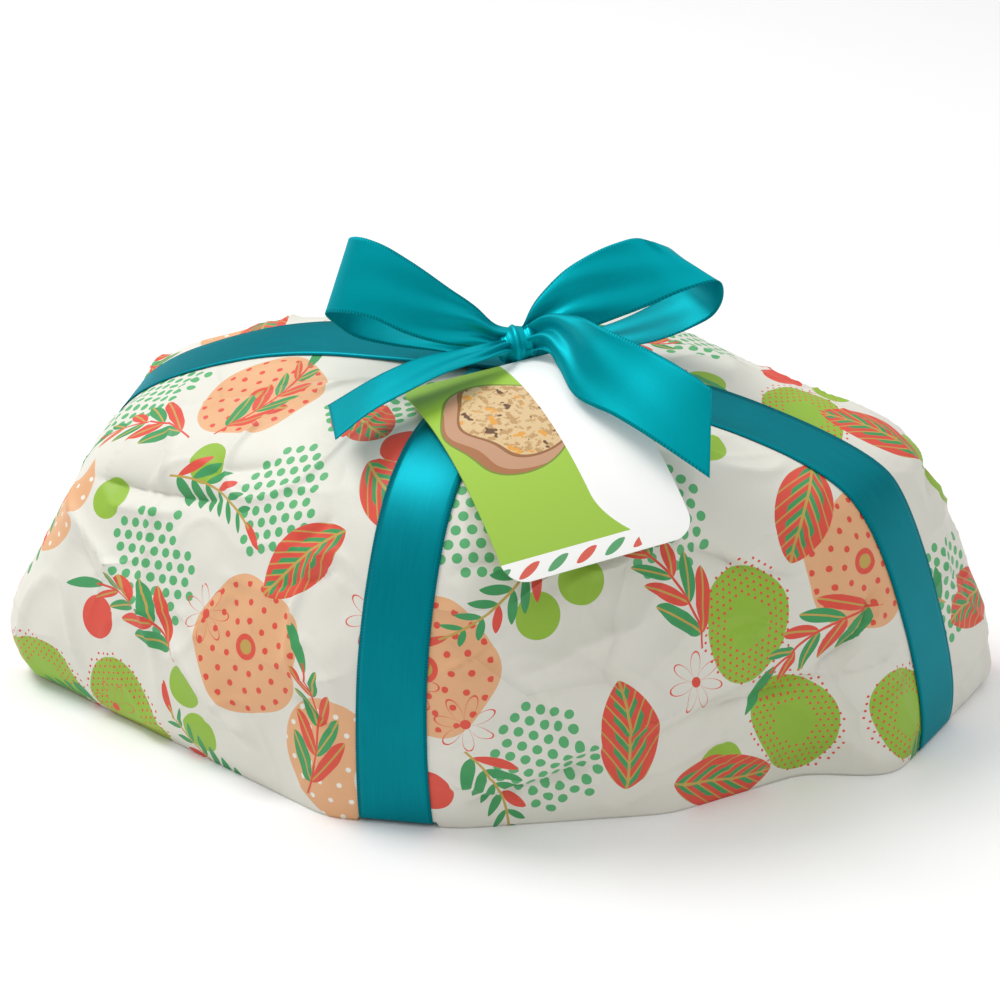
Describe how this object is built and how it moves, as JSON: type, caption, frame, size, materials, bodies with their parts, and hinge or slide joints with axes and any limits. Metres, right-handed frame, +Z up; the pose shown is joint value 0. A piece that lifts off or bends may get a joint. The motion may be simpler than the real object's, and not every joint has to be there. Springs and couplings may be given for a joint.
{
  "type": "wrapped easter bread parcel",
  "caption": "Colomba easter bread wrapped as a gift in printed paper, tied crosswise with satin ribbon, with a bow on top and a hanging card",
  "frame": {"origin": "middle of the bounding box at the base, on the surface that the parcel stands on", "axes": "+X runs along the long ribbon to the tail end, -Y is the front wing with the card and ribbon tails, +Z is up"},
  "size_m": [0.354, 0.2453, 0.1738],
  "materials": {
    "printed_paper": "cream gift paper with a floral print",
    "teal_satin": "teal satin ribbon",
    "card": "thin printed card with rounded corners"
  },
  "bodies": {
    "root": {"wrap": "printed_paper", "ribbon_cross": "teal_satin", "ribbon_long": "teal_satin", "bow": "teal_satin", "tag": "card"}
  },
  "joints": []
}
